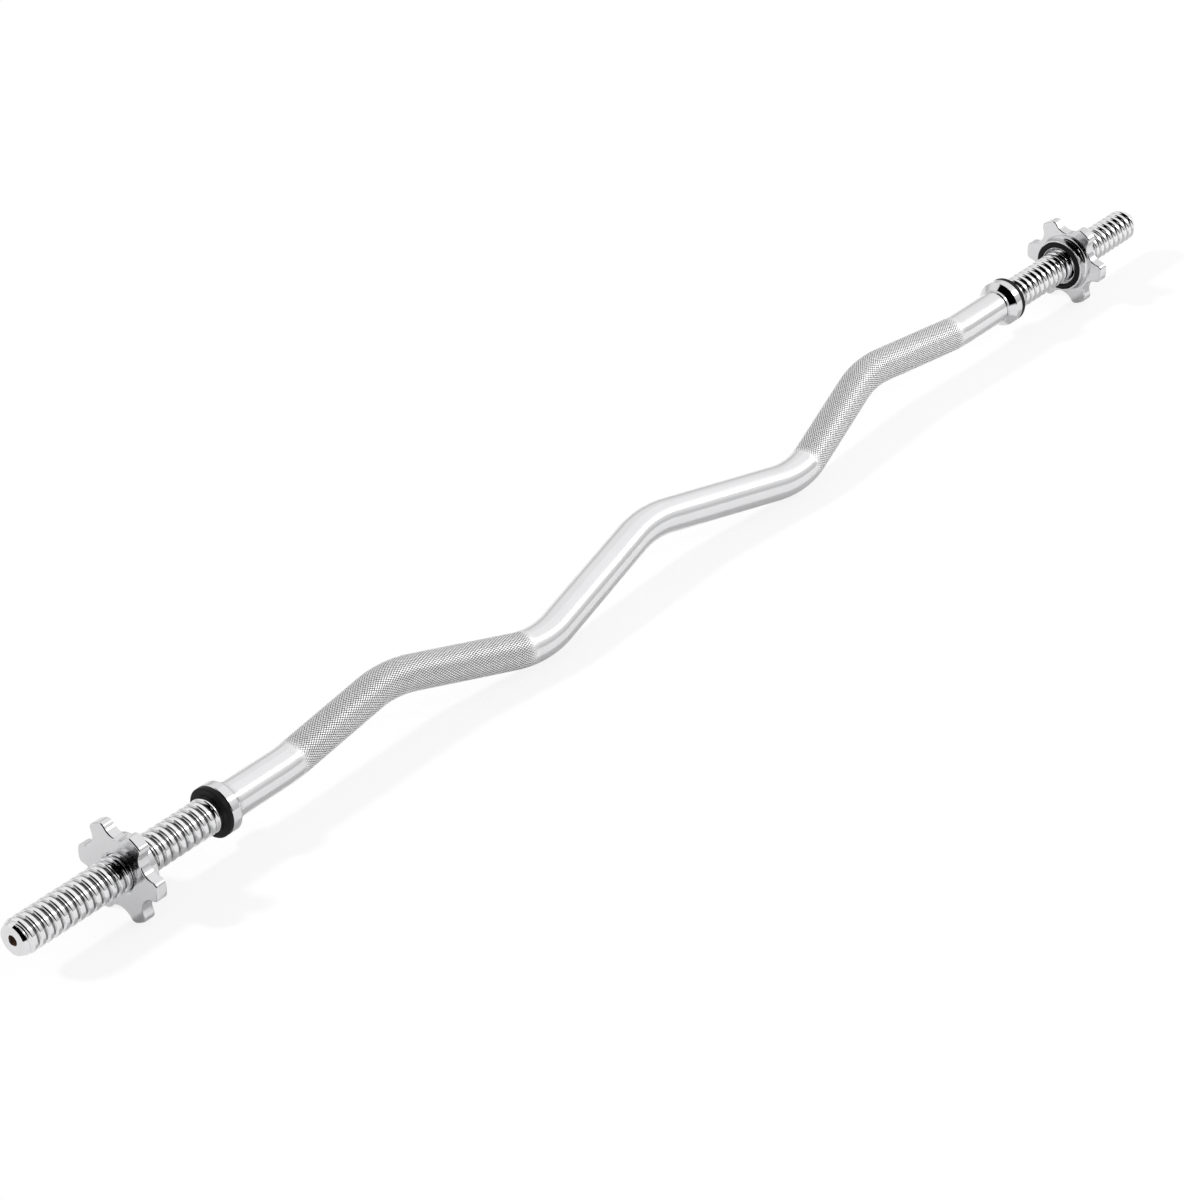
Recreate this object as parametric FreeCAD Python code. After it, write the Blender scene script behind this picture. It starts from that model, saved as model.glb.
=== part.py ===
import FreeCAD, Part
import math
import os

V = FreeCAD.Vector

# Cambered curl bar with two fixed inner collars and two star nuts, lying on its nuts.
# +X runs along the bar, +Z is up, and the origin is on the floor under the middle of the bar.
# All sizes are millimetres and degrees. Stations are measured from the middle of the bar.

# Bar: one solid round steel bar, bent in one plane into two grips on each side
bar_length = 1200.0
bar_d = 25.0
shoulder_run = 51.8         # straight run from the collar's lip to the bend where the outer grip starts
crest_share = 118 / 223     # place of the crest on the way from the valley to that bend
crest_rise = 11.5           # bend points above (+) or below (-) the line through both ends
valley_x = 143.0
valley_drop = 26.0
middle_rise = 6.0
shoulder_bend_r = 180.0     # bend radii, measured to the centreline
crest_bend_r = 95.0
valley_bend_r = 85.0
middle_bend_r = 92.0
lay_angle = 40.0            # the bend plane leans back by this much from lying flat

# Sleeve ends: turned cone and lathe centre in each end face
end_cone_length = 5.2
end_face_d = 20.4
centre_mouth_d = 7.4
centre_cone_angle = 60.0
centre_pilot_d = 3.2
centre_pilot_depth = 9.0

# Thread on both sleeves: one coarse right-hand groove with slanted flanks
thread_lead = 6.5
thread_depth = 1.75
groove_mouth = 4.6          # width of the groove at the bar's surface and at its root
groove_root = 1.0
thread_gap = 2.5            # plain bar between the collar's ring and the first turn
left_groove_from_end = 9.2  # from the bar's end to the middle of a groove, along the top of the bar
right_groove_from_end = 8.4

# Fixed inner collars
sleeve_length = 165.0       # free length for plates, from the collar's ring to the end of the bar
collar_d = 35.0
collar_land = 7.0
collar_cone_length = 4.2
collar_lip_d = 26.8
collar_lip_length = 2.0
collar_edge_r = 0.8
collar_shoulder_r = 1.4
collar_fit = 0.04           # radial, closed by the shrink fit

# Rubber ring on each collar's outer face
collar_ring_d = 34.8
collar_ring_t = 4.0
collar_ring_edge_r = 0.9
collar_ring_fit = 0.04      # radial, closed by the stretched rubber

# Star nuts: six scalloped lobes on a plate, with a hub on the side that clamps
thread_play = 0.3           # radial, between the bar's thread and the nut's
lobes = 6
lobe_tip_r = 34.3
lobe_valley_r = 25.2
scallop_r = 11.0
lobe_corner_r = 4.0
plate_t = 8.5
plate_edge_r = 0.9
hub_d = 41.4
hub_length = 7.0
hub_root_r = 2.4
hub_rim_r = 0.4
mouth_d = 29.0              # countersink of the threaded hole, both sides
left_nut_from_end = 85.7    # from the bar's end to the outer face of each plate, as the nuts stand at rest
right_nut_from_end = 78.2

# Rubber ring in each nut's hub
nut_ring_in_d = 30.6
nut_ring_out_d = 38.4
nut_ring_t = 4.6
nut_ring_proud = 0.7        # how far the ring stands out of the hub
nut_ring_edge_r = 0.9
nut_ring_play = 0.3         # radial, in the hub's groove

# Worked out from the sizes above
bar_r = bar_d / 2
half_length = bar_length / 2
half_step = 180.0 / lobes
scallop_at = lobe_valley_r + scallop_r
corner_at = lobe_tip_r - lobe_corner_r
corner_reach = scallop_r + lobe_corner_r
corner_swing = (corner_at ** 2 + scallop_at ** 2 - corner_reach ** 2) / (2 * corner_at * scallop_at)
corner_angle = half_step - math.degrees(math.acos(corner_swing))
axis_height = corner_at * math.cos(math.radians(half_step - corner_angle)) + lobe_corner_r
bore_r = bar_r + thread_play
collar_ring_face = half_length - sleeve_length
collar_face = collar_ring_face - collar_ring_t
collar_land_start = collar_face - collar_land
collar_cone_start = collar_land_start - collar_cone_length
collar_lip_start = collar_cone_start - collar_lip_length
shoulder_x = collar_lip_start - shoulder_run
crest_x = valley_x + crest_share * (shoulder_x - valley_x)


def polar(radius, degrees):
    angle = math.radians(degrees)
    return V(radius * math.cos(angle), radius * math.sin(angle), 0)


def arc_between(centre, start, end):
    """Minor arc round centre, from start to end."""
    middle = (start - centre) + (end - centre)
    middle.normalize()
    return Part.Arc(start, centre + middle * (start - centre).Length, end).toShape()


def turned(points):
    """Solid turned about the X axis, from (station, radius) points of its half section."""
    corners = [V(station, radius, 0) for station, radius in points]
    return Part.Face(Part.makePolygon(corners + corners[:1])).revolve(V(0, 0, 0), V(1, 0, 0), 360)


def rim(solid, station, radius):
    """The circular edge of a turned solid at a station and radius."""
    def fits(edge):
        circle = edge.Curve
        on_axis = isinstance(circle, Part.Circle) and abs(circle.Center.x - station) < 1e-4
        return on_axis and abs(circle.Radius - radius) < 1e-4
    return [edge for edge in solid.Edges if fits(edge)]


def bent_centreline():
    """Straight runs joined by tangent arcs, in the XY plane, from -X to +X."""
    right_side = [(valley_x, -valley_drop, valley_bend_r), (crest_x, crest_rise, crest_bend_r),
                  (shoulder_x, 0.0, shoulder_bend_r)]
    left_side = [(-x, rise, radius) for x, rise, radius in reversed(right_side)]
    bends = left_side + [(0.0, middle_rise, middle_bend_r)] + right_side
    corners = [V(-half_length, 0, 0)] + [V(x, rise, 0) for x, rise, radius in bends] + [V(half_length, 0, 0)]
    edges = []
    run_start = corners[0]
    for index, (x, rise, radius) in enumerate(bends, start=1):
        back = (corners[index - 1] - corners[index]).normalize()
        ahead = (corners[index + 1] - corners[index]).normalize()
        turn = math.pi - back.getAngle(ahead)
        reach = radius * math.tan(turn / 2)
        arc_start = corners[index] + back * reach
        arc_end = corners[index] + ahead * reach
        centre = corners[index] + (back + ahead).normalize() * (radius / math.cos(turn / 2))
        edges.append(Part.LineSegment(run_start, arc_start).toShape())
        edges.append(arc_between(centre, arc_start, arc_end))
        run_start = arc_end
    edges.append(Part.LineSegment(run_start, corners[-1]).toShape())
    return Part.Wire(edges)


def bar():
    line = bent_centreline()
    section = Part.Wire(Part.makeCircle(bar_r, V(-half_length, 0, 0), V(1, 0, 0)))
    steel = line.makePipeShell([section], True, True)
    print("bar volume over section times length", steel.Volume / (math.pi * bar_r ** 2 * line.Length))
    for side in (-1, 1):
        steel = steel.cut(end_waste(side)).cut(centre_hole(side))
    steel.rotate(V(0, 0, 0), V(1, 0, 0), lay_angle)
    for side, from_end in ((-1, left_groove_from_end), (1, right_groove_from_end)):
        steel = steel.cut(placed(thread_groove(from_end), 0, side))
    return steel


def end_waste(side):
    """Ring turned off a sleeve's end to leave its cone."""
    cone_start = half_length - end_cone_length
    over = bar_r + end_cone_length
    past = half_length + end_cone_length
    section = [(cone_start, bar_r), (half_length, end_face_d / 2), (past, end_face_d / 2),
               (past, over), (cone_start, over)]
    return turned([(side * station, radius) for station, radius in section])


def centre_hole(side):
    """Lathe centre: a cone that ends in a short pilot hole."""
    slope = math.tan(math.radians(centre_cone_angle / 2))
    cone_depth = (centre_mouth_d - centre_pilot_d) / 2 / slope
    section = [(half_length, 0), (half_length, centre_mouth_d / 2),
               (half_length - cone_depth, centre_pilot_d / 2),
               (half_length - centre_pilot_depth, centre_pilot_d / 2),
               (half_length - centre_pilot_depth - centre_pilot_d / 4, 0)]
    return turned([(side * station, radius) for station, radius in section])


def thread_groove(from_end):
    """Cutter for one sleeve's thread, wound from near the collar's ring to past the bar's end."""
    start = collar_ring_face + thread_gap
    lift = thread_depth / 8     # the cutter stands a little out of the bar
    flank = (groove_mouth - groove_root) / 2 / thread_depth
    half_mouth = groove_mouth / 2 + flank * lift
    half_root = groove_root / 2
    top = bar_r + lift
    root = bar_r - thread_depth
    corners = [V(top, 0, -half_mouth), V(root, 0, -half_root), V(root, 0, half_root), V(top, 0, half_mouth)]
    taper = 0.0                 # degrees, for a straight thread
    helix = Part.makeLongHelix(thread_lead, half_length + thread_lead - start, bar_r, taper)
    groove = Part.Wire(helix.Edges).makePipeShell([Part.makePolygon(corners + corners[:1])], True, True)
    turns_to_top = (start - (half_length - from_end)) / thread_lead
    groove.rotate(V(0, 0, 0), V(0, 1, 0), 90)
    groove.rotate(V(0, 0, 0), V(1, 0, 0), 180 + 360 * turns_to_top)
    groove.translate(V(start, 0, 0))
    return groove


def inner_collar():
    """Chrome collar: a thin lip on the bar, a cone and a wide land for the ring."""
    inside = bar_r + collar_fit
    collar = turned([(collar_lip_start, inside), (collar_lip_start, collar_lip_d / 2),
                     (collar_cone_start, collar_lip_d / 2), (collar_land_start, collar_d / 2),
                     (collar_face, collar_d / 2), (collar_face, inside)])
    collar = collar.makeFillet(collar_shoulder_r, rim(collar, collar_land_start, collar_d / 2))
    return collar.makeFillet(collar_edge_r, rim(collar, collar_face, collar_d / 2))


def collar_ring():
    """Rubber ring that cushions the first plate."""
    inside = bar_r + collar_ring_fit
    ring = turned([(collar_face, inside), (collar_face, collar_ring_d / 2),
                   (collar_ring_face, collar_ring_d / 2), (collar_ring_face, inside)])
    return ring.makeFillet(collar_ring_edge_r, rim(ring, collar_ring_face, collar_ring_d / 2))


def star_outline():
    """Closed outline of the lobes: tip arcs, rounded corners and scallops, all tangent."""
    edges = []
    for lobe in range(lobes):
        middle = (2 * lobe + 1) * half_step
        corners = [polar(corner_at, middle + side * corner_angle) for side in (-1, 1)]
        tips = [polar(lobe_tip_r, middle + side * corner_angle) for side in (-1, 1)]
        scallops = [polar(scallop_at, middle + side * half_step) for side in (-1, 1)]
        share = scallop_r / corner_reach
        joins = [hollow + (corner - hollow) * share for hollow, corner in zip(scallops, corners)]
        valley = polar(lobe_valley_r, middle + half_step)
        to_next_lobe = FreeCAD.Rotation(V(0, 0, 1), 2 * half_step)
        edges.append(arc_between(corners[0], joins[0], tips[0]))
        edges.append(Part.Arc(tips[0], polar(lobe_tip_r, middle), tips[1]).toShape())
        edges.append(arc_between(corners[1], tips[1], joins[1]))
        edges.append(Part.Arc(joins[1], valley, to_next_lobe.multVec(joins[0])).toShape())
    return Part.Wire(edges)


def star_nut():
    """Star nut with its plate's outer face at station 0 and its hub towards -X."""
    plate = Part.Face(star_outline()).extrude(V(0, 0, -plate_t))
    plate = plate.makeFillet(plate_edge_r, [edge for edge in plate.Edges if edge.BoundBox.ZLength < 1e-6])
    plate.rotate(V(0, 0, 0), V(0, 1, 0), 90)
    hub_end = -plate_t - hub_length
    groove_end = hub_end + nut_ring_t - nut_ring_proud
    hub = Part.makeCylinder(hub_d / 2, plate_t / 2 + hub_length, V(hub_end, 0, 0), V(1, 0, 0))
    nut = plate.fuse(hub).removeSplitter()
    nut = nut.makeFillet(hub_root_r, rim(nut, -plate_t, hub_d / 2))
    nut = nut.makeFillet(hub_rim_r, rim(nut, hub_end, hub_d / 2))
    groove_in = nut_ring_in_d / 2 - nut_ring_play
    groove_out = nut_ring_out_d / 2 + nut_ring_play
    groove = turned([(hub_end, groove_in), (hub_end, groove_out),
                     (groove_end, groove_out), (groove_end, groove_in)])
    mouth = mouth_d / 2 - bore_r
    bore = turned([(0, 0), (0, mouth_d / 2), (-mouth, bore_r), (hub_end + mouth, bore_r),
                   (hub_end, mouth_d / 2), (hub_end, 0)])
    return nut.cut(groove).cut(bore)


def nut_ring():
    """Rubber ring that grips the last plate, seated on the floor of the hub's groove."""
    face_x = -plate_t - hub_length - nut_ring_proud
    ring = turned([(face_x, nut_ring_in_d / 2), (face_x, nut_ring_out_d / 2),
                   (face_x + nut_ring_t, nut_ring_out_d / 2), (face_x + nut_ring_t, nut_ring_in_d / 2)])
    edges = rim(ring, face_x, nut_ring_in_d / 2) + rim(ring, face_x, nut_ring_out_d / 2)
    return ring.makeFillet(nut_ring_edge_r, edges)


def placed(shape, station, side):
    """A copy of an end piece, moved out to its station and turned round for the left side."""
    piece = shape.copy()
    piece.translate(V(station, 0, 0))
    if side < 0:
        piece.rotate(V(0, 0, 0), V(0, 0, 1), 180)
    return piece


pieces = {"bar": bar()}
for name, side, nut_from_end in (("left", -1, left_nut_from_end), ("right", 1, right_nut_from_end)):
    nut_x = half_length - nut_from_end
    pieces[name + "_inner_collar"] = placed(inner_collar(), 0, side)
    pieces[name + "_collar_ring"] = placed(collar_ring(), 0, side)
    pieces[name + "_star_nut"] = placed(star_nut(), nut_x, side)
    pieces[name + "_nut_ring"] = placed(nut_ring(), nut_x, side)

os.makedirs("parts", exist_ok=True)
for name, piece in pieces.items():
    piece.translate(V(0, 0, axis_height))
    print(name, "valid", piece.isValid(), "solids", len(piece.Solids), "volume", round(piece.Volume, 1))
    piece.exportStep("parts/" + name + ".step")
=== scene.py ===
import bpy
import bmesh
from math import acos, atan2, ceil, cos, degrees, floor, pi, radians, sin, tan
from mathutils import Matrix, Vector


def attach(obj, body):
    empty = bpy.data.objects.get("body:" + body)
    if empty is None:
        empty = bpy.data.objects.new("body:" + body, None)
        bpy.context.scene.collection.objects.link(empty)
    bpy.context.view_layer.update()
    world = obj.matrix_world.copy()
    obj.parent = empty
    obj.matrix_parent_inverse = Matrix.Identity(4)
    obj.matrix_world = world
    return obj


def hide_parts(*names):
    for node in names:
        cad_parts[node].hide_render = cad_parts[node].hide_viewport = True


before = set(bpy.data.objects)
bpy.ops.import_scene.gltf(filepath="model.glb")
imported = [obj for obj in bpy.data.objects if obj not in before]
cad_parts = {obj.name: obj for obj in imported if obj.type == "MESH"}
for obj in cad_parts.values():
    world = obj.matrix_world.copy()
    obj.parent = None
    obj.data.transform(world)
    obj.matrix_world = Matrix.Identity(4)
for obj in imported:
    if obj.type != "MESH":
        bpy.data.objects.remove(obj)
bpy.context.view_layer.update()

mm = 0.001
collection = bpy.context.scene.collection

# whole bar: straight ends on one axis, the bends lie in a plane that leans back
bar = {
    "axisHeight": 31.672 * mm,
    "halfLength": 600 * mm,
    "radius": 12.5 * mm,
    "lean": 40,                   # angles are in degrees, here and below
    "bends": [(143, -26, 85), (261, 11.5, 95), (366, 0, 180)],   # station, rise, bend radius in millimetres
    "middle": (0, 6, 92),
    "arcStep": 1.0,
    "leastSteps": 4,
}
axis = Vector((0, 0, bar["axisHeight"]))

weld = {                          # points that lie nearer than this become one
    "flat": 1e-5,
    "bent": 2e-6,
    "ends": 3e-6,
}


# small helpers for node trees
def plug(tree, socket, value):
    if isinstance(value, bpy.types.NodeSocket):
        tree.links.new(value, socket)
    else:
        socket.default_value = value


def addNode(tree, kind, feeds=None, **settings):
    node = tree.nodes.new(kind)
    for key, value in settings.items():
        setattr(node, key, value)
    for key, value in (feeds or {}).items():
        plug(tree, node.inputs[key], value)
    return node


def calc(tree, operation, *values, kind="ShaderNodeMath"):
    return addNode(tree, kind, dict(enumerate(values)), operation=operation).outputs[0]


def vector(tree, operation, *values):
    return calc(tree, operation, *values, kind="ShaderNodeVectorMath")


def scaled(tree, value, factor):
    return addNode(tree, "ShaderNodeVectorMath", {0: value, "Scale": factor}, operation="SCALE").outputs[0]


def joinXyz(tree, x, y, z):
    return addNode(tree, "ShaderNodeCombineXYZ", {0: x, 1: y, 2: z}).outputs[0]


def splitXyz(tree, value):
    return addNode(tree, "ShaderNodeSeparateXYZ", {0: value}).outputs


def ranged(tree, value, low, high, start, end, curve="LINEAR"):
    feeds = dict(enumerate((value, low, high, start, end)))
    return addNode(tree, "ShaderNodeMapRange", feeds, interpolation_type=curve).outputs[0]


def ease(tree, value, low, high, start=0.0, end=1.0):
    return ranged(tree, value, low, high, start, end, "SMOOTHSTEP")


def newTree(name, inputs):
    tree = bpy.data.node_groups.new(name, "GeometryNodeTree")
    for label, kind in inputs:
        tree.interface.new_socket(label, in_out="INPUT", socket_type="NodeSocket" + kind)
    tree.interface.new_socket("Geometry", in_out="OUTPUT", socket_type="NodeSocketGeometry")
    feeds = addNode(tree, "NodeGroupInput").outputs
    return tree, feeds


def here(tree):
    return splitXyz(tree, addNode(tree, "GeometryNodeInputPosition").outputs[0])


def moved(tree, geometry, position):
    return addNode(tree, "GeometryNodeSetPosition", {"Geometry": geometry, "Position": position}).outputs[0]


def welded(tree, geometry, distance):
    return addNode(tree, "GeometryNodeMergeByDistance", {"Geometry": geometry, "Distance": distance}).outputs[0]


def smoothed(tree, geometry):
    return addNode(tree, "GeometryNodeSetShadeSmooth", {"Geometry": geometry, "Shade Smooth": True}).outputs[0]


def sendOut(tree, geometry):
    out = addNode(tree, "NodeGroupOutput")
    tree.links.new(geometry, out.inputs[0])


def finishTree(tree, geometry, material):
    whole = addNode(tree, "GeometryNodeRealizeInstances", {"Geometry": geometry}).outputs[0]
    sendOut(tree, addNode(tree, "GeometryNodeSetMaterial", {"Geometry": whole, "Material": material}).outputs[0])


def grown(name, tree, sizes):
    # runs a node tree once and keeps its result as a plain mesh
    piece = bpy.data.objects.new(name, bpy.data.meshes.new(name))
    collection.objects.link(piece)
    modifier = piece.modifiers.new("shape", "NODES")
    modifier.node_group = tree
    for item in tree.interface.items_tree:
        if item.in_out == "INPUT":
            modifier[item.identifier] = sizes[item.name]
    result = bpy.data.meshes.new_from_object(piece.evaluated_get(bpy.context.evaluated_depsgraph_get()))
    piece.modifiers.clear()
    result.materials.clear()      # the tree leaves an empty first slot
    result.materials.append(sizes["Finish"])
    blank = piece.data
    piece.data = result
    bpy.data.meshes.remove(blank)
    result.name = name
    return piece


# small helpers for finishes
noiseSpan = (0.3, 0.7)            # most of a noise's values lie between these


def newFinish(name, metallic, colour):
    material = bpy.data.materials.new(name)
    material.use_nodes = True
    tree = material.node_tree
    tree.nodes.clear()
    shader = addNode(tree, "ShaderNodeBsdfPrincipled", {"Metallic": metallic, "Base Color": (*colour, 1)})
    output = addNode(tree, "ShaderNodeOutputMaterial")
    tree.links.new(shader.outputs[0], output.inputs[0])
    material.diffuse_color = (*colour, 1)
    return material, tree, shader


def noiseOn(tree, coordinates, scale, stretch=(1, 1, 1), detail=3.0):
    mapping = addNode(tree, "ShaderNodeMapping", {"Vector": coordinates, "Scale": stretch})
    noise = addNode(tree, "ShaderNodeTexNoise", {"Vector": mapping.outputs[0], "Scale": scale, "Detail": detail})
    return noise.outputs["Fac"]


def shade(tree, factor, first, second):
    mix = addNode(tree, "ShaderNodeMix", {0: factor}, data_type="RGBA")
    for slot, colour in ((6, first), (7, second)):
        plug(tree, mix.inputs[slot], colour if isinstance(colour, bpy.types.NodeSocket) else (*colour, 1))
    return mix.outputs[2]


def relief(tree, shader, height, strength, distance):
    bump = addNode(tree, "ShaderNodeBump", {"Height": height, "Strength": strength, "Distance": distance})
    tree.links.new(bump.outputs[0], shader.inputs["Normal"])


def objectSpace(tree):
    return addNode(tree, "ShaderNodeTexCoord").outputs["Object"]


def fromAxis(tree, y, z):
    return calc(tree, "SQRT", calc(tree, "MULTIPLY_ADD", y, y, calc(tree, "MULTIPLY", z, z)))


chrome = {                        # what the chrome of threads, collars and nuts has in common
    "haze": 220,                  # noise scales
    "hazeDetail": 5,
    "swell": 90,
    "swellDetail": 1,
    "hazeSpan": (0.35, 0.7),
    "hazeRough": 2.2,             # times as rough where the haze is thick
    "hazeLight": 1.05,            # and times as light
    "swellStrength": 0.05,
    "swellHeight": 0.1 * mm,
}


def chromeFinish(name, colour, rough):
    material, tree, shader = newFinish(name, 1.0, colour)
    spot = objectSpace(tree)
    haze = noiseOn(tree, spot, chrome["haze"], detail=chrome["hazeDetail"])
    swell = noiseOn(tree, spot, chrome["swell"], detail=chrome["swellDetail"])
    lighter = tuple(min(1, c * chrome["hazeLight"]) for c in colour)
    tree.links.new(shade(tree, haze, colour, lighter), shader.inputs["Base Color"])
    roughness = ranged(tree, haze, *chrome["hazeSpan"], rough, rough * chrome["hazeRough"])
    tree.links.new(roughness, shader.inputs["Roughness"])
    relief(tree, shader, swell, chrome["swellStrength"], chrome["swellHeight"])
    return material, tree, shader


rubber = {
    "colour": (0.008, 0.008, 0.008),
    "bloom": [(0.004, 0.004, 0.004), (0.011, 0.011, 0.011)],
    "bloomScale": 120,
    "specular": 0.12,
    "grainScale": 1400,
    "grainDetail": 4,
    "grainRough": (0.36, 0.55),
    "grainStrength": 0.25,
    "grainHeight": 0.06 * mm,
}


def rubberFinish():
    material, tree, shader = newFinish("ringRubber", 0.0, rubber["colour"])
    shader.inputs["Specular IOR Level"].default_value = rubber["specular"]
    spot = objectSpace(tree)
    grain = noiseOn(tree, spot, rubber["grainScale"], detail=rubber["grainDetail"])
    bloom = noiseOn(tree, spot, rubber["bloomScale"])
    tree.links.new(shade(tree, bloom, *rubber["bloom"]), shader.inputs["Base Color"])
    tree.links.new(ranged(tree, grain, *noiseSpan, *rubber["grainRough"]), shader.inputs["Roughness"])
    relief(tree, shader, grain, rubber["grainStrength"], rubber["grainHeight"])
    return material


ringRubber = rubberFinish()
print("rubber made")


# centreline of the bent bar, a helper curve that goes again once the shaft has followed it
def roundedCorner(before, corner, after, radius, arcStep, leastSteps):
    # the arc's points, how far the round reaches from the corner, and the two directions away from it
    back = (before - corner).normalized()
    ahead = (after - corner).normalized()
    turn = pi - back.angle(ahead)
    reach = radius * tan(turn / 2)
    centre = corner + (back + ahead).normalized() * (radius / cos(turn / 2))
    first = corner + back * reach - centre
    way = 1 if back.x * ahead.y - back.y * ahead.x < 0 else -1
    steps = max(leastSteps, ceil(degrees(turn) / arcStep))
    arc = [centre + Matrix.Rotation(way * turn * step / steps, 2) @ first for step in range(steps + 1)]
    return arc, reach, back, ahead


def barPoints():
    corners = [(-x, rise, r) for x, rise, r in reversed(bar["bends"])] + [bar["middle"]] + bar["bends"]
    end = bar["halfLength"] / mm
    spots = [Vector((-end, 0))] + [Vector(corner[:2]) for corner in corners] + [Vector((end, 0))]
    radii = [corner[2] for corner in corners]
    line = [spots[0]]
    for before, spot, after, radius in zip(spots, spots[1:], spots[2:], radii):
        line += roundedCorner(before, spot, after, radius, bar["arcStep"], bar["leastSteps"])[0]
    line.append(spots[-1])
    lean = radians(bar["lean"])
    return [axis + Vector((p.x, p.y * cos(lean), p.y * sin(lean))) * mm for p in line]


def drawnLine(name, points):
    curve = bpy.data.curves.new(name, "CURVE")
    curve.dimensions = "3D"
    spline = curve.splines.new("POLY")
    spline.points.add(len(points) - 1)
    for point, place in zip(spline.points, points):
        point.co = (*place, 1)
    line = bpy.data.objects.new(name, curve)
    collection.objects.link(line)
    return line


def wrapTree():
    # bends a flat mesh (length, angle, radius) round the bar's line
    tree, feeds = newTree("wrapRoundLine", [("Flat", "Geometry"), ("Line", "Geometry"), ("Middle", "Float")])
    along, angle, radius = here(tree)
    sideways = calc(tree, "MULTIPLY", radius, calc(tree, "COSINE", angle))
    upwards = calc(tree, "MULTIPLY", radius, calc(tree, "SINE", angle))
    unbent = joinXyz(tree, calc(tree, "SUBTRACT", along, feeds["Middle"]), sideways, upwards)
    kept = addNode(tree, "GeometryNodeStoreNamedAttribute",
                   {"Geometry": feeds["Flat"], "Name": "straightBar", "Value": unbent}, data_type="FLOAT_VECTOR")
    place = addNode(tree, "GeometryNodeSampleCurve", {"Curves": feeds["Line"], "Length": along}, mode="LENGTH")
    normal = place.outputs["Normal"]
    across = vector(tree, "CROSS_PRODUCT", normal, place.outputs["Tangent"])
    offset = vector(tree, "ADD", scaled(tree, normal, sideways), scaled(tree, across, upwards))
    sendOut(tree, moved(tree, kept.outputs[0], vector(tree, "ADD", place.outputs["Position"], offset)))
    return tree


def knurlTree(wrap):
    # one band of flat-topped diamonds, repeated on a staggered grid and then bent round the bar
    tree, feeds = newTree("knurlBand", [("Line", "Geometry"), ("Middle", "Float"), ("Radius", "Float"),
                                        ("Start", "Float"), ("Row Step", "Float"), ("Rows", "Int"),
                                        ("Columns", "Int"), ("Flat", "Float"), ("Peak", "Float"),
                                        ("Groove", "Float"), ("Fade", "Float"), ("Tuck", "Float"),
                                        ("Crisp", "Float")])
    halfWidth = calc(tree, "DIVIDE", pi, feeds["Columns"])
    block = addNode(tree, "GeometryNodeMeshCone", {"Vertices": 4, "Side Segments": 1, "Radius Top": feeds["Flat"],
                                                   "Radius Bottom": 1.0, "Depth": 1.0}, fill_type="NGON")
    diamond = addNode(tree, "GeometryNodeDeleteGeometry",
                      {"Geometry": block.outputs["Mesh"], "Selection": block.outputs["Bottom"]},
                      domain="FACE", mode="ONLY_FACE").outputs[0]
    diamond = addNode(tree, "GeometryNodeTransform",
                      {"Geometry": diamond, "Scale": joinXyz(tree, feeds["Row Step"], halfWidth, 1.0)}).outputs[0]
    length = calc(tree, "MULTIPLY", feeds["Row Step"], calc(tree, "SUBTRACT", feeds["Rows"], 1))
    width = calc(tree, "SUBTRACT", 2 * pi, calc(tree, "MULTIPLY", 2, halfWidth))
    grid = addNode(tree, "GeometryNodeMeshGrid", {"Size X": length, "Size Y": width,
                                                  "Vertices X": feeds["Rows"], "Vertices Y": feeds["Columns"]})
    x, y = here(tree)[:2]
    fromStart = calc(tree, "MULTIPLY_ADD", length, 0.5, x)
    row = calc(tree, "ROUND", calc(tree, "DIVIDE", fromStart, feeds["Row Step"]))
    stagger = calc(tree, "MULTIPLY", calc(tree, "MODULO", row, 2), halfWidth)
    around = calc(tree, "ADD", calc(tree, "MULTIPLY_ADD", width, 0.5, y), stagger)
    spots = moved(tree, grid.outputs[0], joinXyz(tree, calc(tree, "ADD", fromStart, feeds["Start"]), around, 0.0))
    points = addNode(tree, "GeometryNodeInstanceOnPoints", {"Points": spots, "Instance": diamond}).outputs[0]
    sheet = addNode(tree, "GeometryNodeRealizeInstances", {"Geometry": points}).outputs[0]
    sheet = welded(tree, sheet, weld["flat"])
    x, y, z = here(tree)
    gone = calc(tree, "SUBTRACT", x, feeds["Start"])
    rising = ease(tree, gone, 0.0, feeds["Fade"])
    falling = ease(tree, calc(tree, "SUBTRACT", length, gone), 0.0, feeds["Fade"])
    depth = calc(tree, "ADD", feeds["Peak"], feeds["Groove"])
    height = calc(tree, "SUBTRACT", calc(tree, "MULTIPLY", z, depth), feeds["Groove"])
    height = calc(tree, "MULTIPLY", height, calc(tree, "MULTIPLY", rising, falling))
    level = calc(tree, "SUBTRACT", feeds["Radius"], feeds["Tuck"])
    sheet = moved(tree, sheet, joinXyz(tree, x, y, calc(tree, "ADD", height, level)))
    band = addNode(tree, "GeometryNodeGroup",
                   {"Flat": sheet, "Line": feeds["Line"], "Middle": feeds["Middle"]}, node_tree=wrap)
    soft = smoothed(tree, welded(tree, band.outputs[0], weld["bent"]))
    bend = addNode(tree, "GeometryNodeInputMeshEdgeAngle").outputs["Unsigned Angle"]
    crisp = addNode(tree, "GeometryNodeSetShadeSmooth",
                    {"Geometry": soft, "Selection": calc(tree, "GREATER_THAN", bend, feeds["Crisp"]),
                     "Shade Smooth": False}, domain="EDGE")
    sendOut(tree, crisp.outputs[0])
    return tree


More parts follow.
